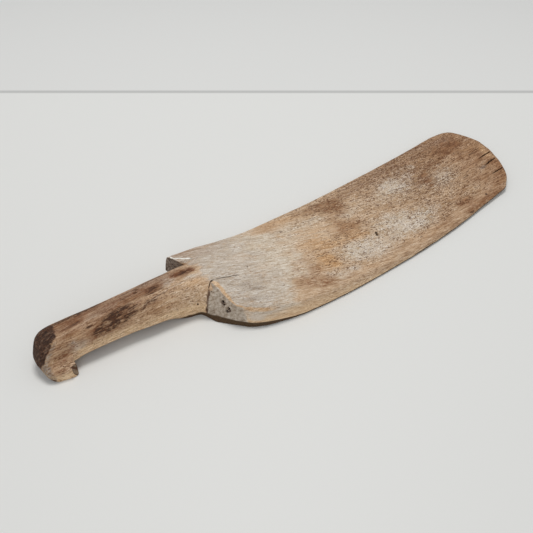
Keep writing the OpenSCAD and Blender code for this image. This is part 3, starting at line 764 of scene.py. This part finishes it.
# ---------------------------------------------------------------- materials
class Nodes:
    def __init__(self, name):
        self.mat = bpy.data.materials.new(name)
        self.mat.use_nodes = True
        self.tree = self.mat.node_tree
        self.tree.nodes.clear()

    def add(self, kind, values=(), **settings):
        n = self.tree.nodes.new(kind)
        for k, val in settings.items():
            setattr(n, k, val)
        for key, val in dict(values).items():
            if isinstance(val, bpy.types.NodeSocket):
                self.tree.links.new(val, n.inputs[key])
            else:
                n.inputs[key].default_value = val
        return n

    def attr(self, name):
        return self.add("ShaderNodeAttribute", attribute_name=name)

    def math(self, op, a, b=0.5, c=None, clamp=False):
        n = self.add("ShaderNodeMath", operation=op, use_clamp=clamp)
        for i, val in enumerate([a, b] + ([c] if c is not None else [])):
            if isinstance(val, bpy.types.NodeSocket):
                self.tree.links.new(val, n.inputs[i])
            else:
                n.inputs[i].default_value = val
        return n.outputs[0]

    def noise(self, vector, scale, detail=3.0, rough=0.55, stretch=(1, 1, 1), distortion=0.0):
        m = self.add("ShaderNodeMapping", {"Vector": vector, "Scale": stretch}, vector_type="POINT")
        n = self.add("ShaderNodeTexNoise", {"Vector": m.outputs[0], "Scale": scale, "Detail": detail,
                                            "Roughness": rough, "Distortion": distortion})
        return n.outputs[0]

    def step(self, value, a, b):
        n = self.add("ShaderNodeMapRange", {"From Min": a, "From Max": b}, interpolation_type="SMOOTHSTEP")
        self.tree.links.new(value, n.inputs["Value"])
        return n.outputs[0]

    def blend(self, factor, a, b):
        n = self.add("ShaderNodeMix", data_type="RGBA")
        for key, val in ((0, factor), (6, a), (7, b)):
            if isinstance(val, bpy.types.NodeSocket):
                self.tree.links.new(val, n.inputs[key])
            else:
                n.inputs[key].default_value = val
        return n.outputs[2]


TONES = ["pale", "cream", "mauve", "white", "ochre", "brown", "rust", "dark", "grey", "knot", "rubbed", "torn", "crease_shade_and_dark_lines",
         "endg", "shade", "warm", "umber", "burnt", "stub", "under", "base", "lined", "coarse", "check", "pit"]


def rgb(r, g, b):
    """The colour that a lit upper face shows as these values of 0 to 255."""
    return tuple(min(1.0, 1.07 * ((c / 255 + 0.055) / 1.055) ** 2.4) for c in (r, g, b)) + (1.0,)


def wood():
    k = Nodes("old_wood_finish")
    grain = k.attr("grain").outputs["Vector"]
    tone = {name: k.attr(name).outputs["Fac"] for name in TONES}
    fibre = k.noise(grain, 1.0, 5.0, 0.62, (0.075, 1.0, 1.0))
    strand = k.noise(grain, 1.0, 4.0, 0.6, (0.024, 0.34, 0.34), 0.4)
    fleck = k.noise(grain, 1.0, 3.0, 0.65, (0.27, 0.46, 0.46))
    grit = k.noise(grain, 1.0, 3.0, 0.65, (0.8, 1.1, 1.1))
    thread = k.noise(grain, 1.0, 4.0, 0.6, (0.045, 0.85, 0.85))
    cloud = k.noise(grain, 1.0, 5.0, 0.6, (0.045, 0.08, 0.08))
    pore = k.noise(grain, 1.0, 2.0, 0.5, (0.42, 1.0, 1.0))
    mottle = k.noise(grain, 1.0, 2.0, 0.55, (0.11, 0.2, 0.2))

    def ragged(name, noise_a, amount_a, noise_b, amount_b, lo=0.08, hi=1.02):
        swing = k.math("MULTIPLY_ADD", k.math("SUBTRACT", noise_a, 0.5), amount_a, 1.0)
        swing = k.math("MULTIPLY_ADD", k.math("SUBTRACT", noise_b, 0.5), amount_b, swing)
        return k.step(k.math("MULTIPLY", tone[name], swing), lo, hi)

    def ramp(value, stops):
        r = k.add("ShaderNodeValToRGB", {"Fac": value})
        e = r.color_ramp.elements
        while len(e) < len(stops):
            e.new(0.5)
        for el, (at, colour) in zip(e, stops):
            el.position, el.color = at, colour
        return r.outputs[0]

    colour = ramp(fibre, [(0.30, rgb(178, 145, 114)), (0.5, rgb(205, 175, 144)), (0.68, rgb(223, 200, 173))])
    colour = k.blend(k.math("MULTIPLY", k.step(strand, 0.48, 0.68), 0.6), colour, rgb(168, 138, 110))
    umber = ramp(fibre, [(0.32, rgb(137, 99, 70)), (0.5, rgb(168, 131, 99)), (0.68, rgb(196, 163, 132))])
    colour = k.blend(ragged("umber", strand, 2.0, cloud, 1.6, 0.0, 1.0), colour, umber)
    cool = ramp(fibre, [(0.32, rgb(176, 160, 143)), (0.5, rgb(197, 184, 169)), (0.66, rgb(213, 203, 190))])
    warm = ramp(fibre, [(0.32, rgb(184, 165, 142)), (0.5, rgb(210, 195, 175)), (0.66, rgb(223, 211, 194))])
    colour = k.blend(ragged("pale", cloud, 1.6, fleck, 1.6), colour, k.blend(tone["cream"], cool, warm))
    mauve = ramp(fibre, [(0.32, rgb(133, 102, 80)), (0.5, rgb(159, 128, 104)), (0.68, rgb(187, 160, 138))])
    colour = k.blend(ragged("mauve", cloud, 2.4, strand, 1.6), colour, mauve)
    # painted light on the near side: a lighter, warmer tan
    colour = k.blend(ragged("warm", cloud, 1.0, strand, 1.4, 0.0, 0.9), colour,
                     ramp(fibre, [(0.33, rgb(203, 166, 128)), (0.64, rgb(238, 209, 172))]))
    colour = k.blend(ragged("ochre", strand, 2.0, fleck, 1.6, 0.04, 0.95), colour,
                     ramp(fibre, [(0.33, rgb(174, 129, 87)), (0.62, rgb(217, 179, 137))]))
    colour = k.blend(ragged("brown", grit, 4.2, fleck, 3.4, 0.08, 1.15), colour,
                     ramp(fibre, [(0.33, rgb(118, 77, 49)), (0.64, rgb(163, 120, 86))]))
    colour = k.blend(ragged("grey", fibre, 4.0, strand, 1.6, 0.1, 1.1), colour,
                     ramp(fleck, [(0.35, rgb(134, 118, 104)), (0.64, rgb(164, 149, 134))]))
    colour = k.blend(ragged("rust", fibre, 4.0, fleck, 3.0, 0.1, 0.95), colour,
                     ramp(fibre, [(0.33, rgb(84, 46, 28)), (0.66, rgb(136, 90, 60))]))
    colour = k.blend(ragged("white", grit, 1.2, fleck, 1.2, 0.02, 0.95), colour, rgb(213, 197, 179))
    colour = k.blend(ragged("rubbed", fleck, 1.2, cloud, 0.8, 0.05, 0.8), colour,
                     ramp(fleck, [(0.35, rgb(190, 150, 110)), (0.66, rgb(219, 190, 157))]))
    end_grain = ramp(fleck, [(0.34, rgb(148, 131, 114)), (0.5, rgb(182, 167, 150)), (0.66, rgb(203, 191, 176))])
    # painted shade on the far shoulder's end-grain face
    shaded = ramp(fleck, [(0.34, rgb(88, 71, 60)), (0.66, rgb(166, 150, 136))])
    end_grain = k.blend(tone["shade"], end_grain, shaded)
    colour = k.blend(k.step(tone["endg"], 0.25, 0.8), colour, end_grain)
    burnt = ramp(fleck, [(0.35, rgb(46, 29, 21)), (0.52, rgb(68, 47, 36)), (0.68, rgb(112, 88, 71))])
    colour = k.blend(ragged("burnt", fleck, 1.2, grit, 1.0, 0.2, 0.8), colour, burnt)
    colour = k.blend(ragged("dark", fibre, 7.0, fleck, 2.4, 0.16, 0.9), colour,
                     ramp(fibre, [(0.33, rgb(40, 23, 15)), (0.66, rgb(80, 54, 40))]))
    stub = k.blend(k.step(tone["stub"], 0.45, 1.0), rgb(62, 42, 31), rgb(142, 122, 101))
    colour = k.blend(k.step(tone["stub"], 0.0, 0.25), colour, stub)
    colour = k.blend(k.math("MULTIPLY", k.step(tone["knot"], 0.15, 0.95), 0.85), colour, rgb(186, 152, 120))
    # painted shade in creases, and dark lines along edges
    colour = k.blend(k.step(tone["crease_shade_and_dark_lines"], 0.1, 0.9), colour, rgb(92, 66, 50))
    # the torn splinter line: pale torn wood painted near white, partly a painted highlight
    colour = k.blend(k.step(tone["torn"], 0.25, 0.7), colour, rgb(240, 236, 228))
    colour = k.blend(k.math("MULTIPLY", tone["under"], 0.5), colour, rgb(120, 98, 80))
    # painted shade: dark brown rim under the near edge and the handle's root, partly dirty wood and partly the contact
    # shadow along the floor
    colour = k.blend(k.step(tone["base"], 0.1, 0.8), colour, ramp(fibre, [(0.3, rgb(66, 48, 32)), (0.7, rgb(92, 72, 50))]))
    lines = k.math("MULTIPLY", k.step(thread, 0.54, 0.63), tone["lined"])
    colour = k.blend(k.math("MULTIPLY", lines, 0.6), colour, rgb(112, 72, 45))
    pores = k.math("MULTIPLY_ADD", tone["coarse"], 0.05, k.math("MULTIPLY_ADD", tone["brown"], 0.05, pore))
    pores = k.step(pores, 0.595, 0.665)
    pores = k.math("MULTIPLY", pores, k.step(mottle, 0.36, 0.56))
    pores = k.math("MULTIPLY", pores, tone["coarse"], clamp=True)
    colour = k.blend(k.math("MULTIPLY", pores, 0.78), colour, rgb(104, 62, 35))
    # painted shade: dark inside the checks and worm holes
    depth = k.math("MAXIMUM", tone["check"], tone["pit"])
    colour = k.blend(k.step(depth, 0.15, 0.75), colour, rgb(56, 31, 19))
    # mottled light and dark, stronger where the wood is pitted
    speckle = k.math("MULTIPLY_ADD", k.math("SUBTRACT", fleck, 0.5), 0.75, k.math("MULTIPLY", k.math("SUBTRACT", grit, 0.5), 1.9))
    speckle = k.math("MULTIPLY_ADD", k.math("SUBTRACT", mottle, 0.5), 0.45, speckle)
    speckle = k.math("MULTIPLY_ADD", speckle, tone["coarse"], k.math("MULTIPLY_ADD", fibre, 0.5, -0.25))
    tint = k.add("ShaderNodeVectorMath", {0: (0.79, 1.03, 1.38), "Scale": speckle}, operation="SCALE").outputs[0]
    tint = k.add("ShaderNodeVectorMath", {0: tint, 1: (1.0, 1.0, 1.0)}, operation="ADD").outputs[0]
    tint = k.add("ShaderNodeVectorMath", {0: tint, 1: (0.16, 0.13, 0.10)}, operation="MAXIMUM").outputs[0]
    colour = k.add("ShaderNodeVectorMath", {0: colour, 1: tint}, operation="MULTIPLY").outputs[0]

    rough = k.math("MULTIPLY_ADD", fibre, 0.3, 0.58)
    rough = k.math("MULTIPLY_ADD", k.step(tone["umber"], 0.3, 0.7), -0.08, rough)
    height = k.math("MULTIPLY_ADD", fleck, 0.9, k.math("MULTIPLY_ADD", pores, -0.5, fibre))
    height = k.math("MULTIPLY_ADD", grit, 0.6, height)
    height = k.math("MULTIPLY", height, tone["coarse"])
    bump = k.add("ShaderNodeBump", {"Height": height, "Distance": 0.0009, "Strength": 0.8})
    bsdf = k.add("ShaderNodeBsdfPrincipled", {"Base Color": colour, "Roughness": rough, "Normal": bump.outputs[0],
                                              "IOR": 1.45, "Specular IOR Level": 0.25})
    k.add("ShaderNodeOutputMaterial", {"Surface": bsdf.outputs[0]})
    return k.mat


def table_top():
    k = Nodes("table_finish")
    place = k.add("ShaderNodeTexCoord").outputs["Object"]
    xyz = k.add("ShaderNodeSeparateXYZ", {"Vector": place})
    ahead = k.math("ADD", k.math("MULTIPLY", xyz.outputs[0], 0.530), k.math("MULTIPLY", xyz.outputs[1], 0.848))
    ahead = k.math("ADD", ahead, k.math("MULTIPLY", k.math("SUBTRACT", k.math("MULTIPLY", xyz.outputs[0], 0.848),
                                                           k.math("MULTIPLY", xyz.outputs[1], 0.530)), 0.0))
    far = k.step(ahead, TABLE_BACK, TABLE_BACK + 0.001)
    fade = k.step(ahead, TABLE_BACK, TABLE_BACK + 0.55)
    beyond = k.blend(fade, (0.79, 0.79, 0.775, 1), (0.70, 0.70, 0.69, 1))
    colour = k.blend(far, (0.82, 0.82, 0.80, 1), beyond)
    # painted shade: the dark line in the gap at the table's back edge; beyond it the wall behind is painted on the
    # flat, darker further back
    gap = k.math("MULTIPLY", k.step(ahead, TABLE_BACK - 0.0035, TABLE_BACK), k.step(ahead, TABLE_BACK + 0.006, TABLE_BACK + 0.001))
    colour = k.blend(k.math("MULTIPLY", gap, 0.8), colour, (0.50, 0.50, 0.49, 1))
    bsdf = k.add("ShaderNodeBsdfPrincipled", {"Base Color": colour, "Roughness": 0.55})
    k.add("ShaderNodeOutputMaterial", {"Surface": bsdf.outputs[0]})
    return k.mat


TABLE_BACK = 0.285  # metres from the origin to the table's back edge, along the camera's heading

# ---------------------------------------------------------------- the piece
v, tris, fields = build()
fields["grain"] = grain_space(v)
knife = make_mesh("knife_body", v, tris, fields)
knife.data.materials.append(wood())
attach(knife, "root")
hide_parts("scutching_knife")

# ---------------------------------------------------------------- stage, light and camera
scene = bpy.context.scene
floor_mesh = bpy.data.meshes.new("floor")
below = -0.00003  # a hair under the knife, so that the two flats don't share a plane
floor_mesh.from_pydata([(-40, -40, below), (40, -40, below), (40, 40, below), (-40, 40, below)], [], [(0, 1, 2, 3)])
floor = bpy.data.objects.new("floor", floor_mesh)
scene.collection.objects.link(floor)
floor.data.materials.append(table_top())

world = bpy.data.worlds.new("room")
scene.world = world
world.use_nodes = True
world.node_tree.nodes["Background"].inputs[0].default_value = (0.96, 0.98, 1.0, 1)
world.node_tree.nodes["Background"].inputs[1].default_value = 0.44

def soft_light(name, place, aim, size, power, colour):
    data = bpy.data.lights.new(name, "AREA")
    data.shape, data.size, data.energy, data.color = "DISK", size, power, colour
    ob = bpy.data.objects.new(name, data)
    scene.collection.objects.link(ob)
    ob.location = place
    direction = mathutils.Vector(aim) - mathutils.Vector(place)
    ob.rotation_euler = direction.to_track_quat("-Z", "Y").to_euler()
    return ob


soft_light("key", (0.2, 0.46, 1.95), (0.02, -0.04, 0), 0.8, 17.0, (1.0, 0.985, 0.96))
soft_light("front", (-1.0, -1.6, 1.5), (0, 0, 0), 1.6, 5.0, (1.0, 0.99, 0.975))

cam_data = bpy.data.cameras.new("camera")
cam_data.lens = 52.68
cam_data.sensor_width = 36
cam_data.sensor_fit = "HORIZONTAL"
cam = bpy.data.objects.new("camera", cam_data)
scene.collection.objects.link(cam)
cam.location = (-0.317224, -0.449400, 0.539675)
cam.rotation_euler = (math.radians(44.5), 0, math.radians(-32))
scene.camera = cam

scene.view_settings.view_transform = "Standard"
scene.view_settings.look = "None"
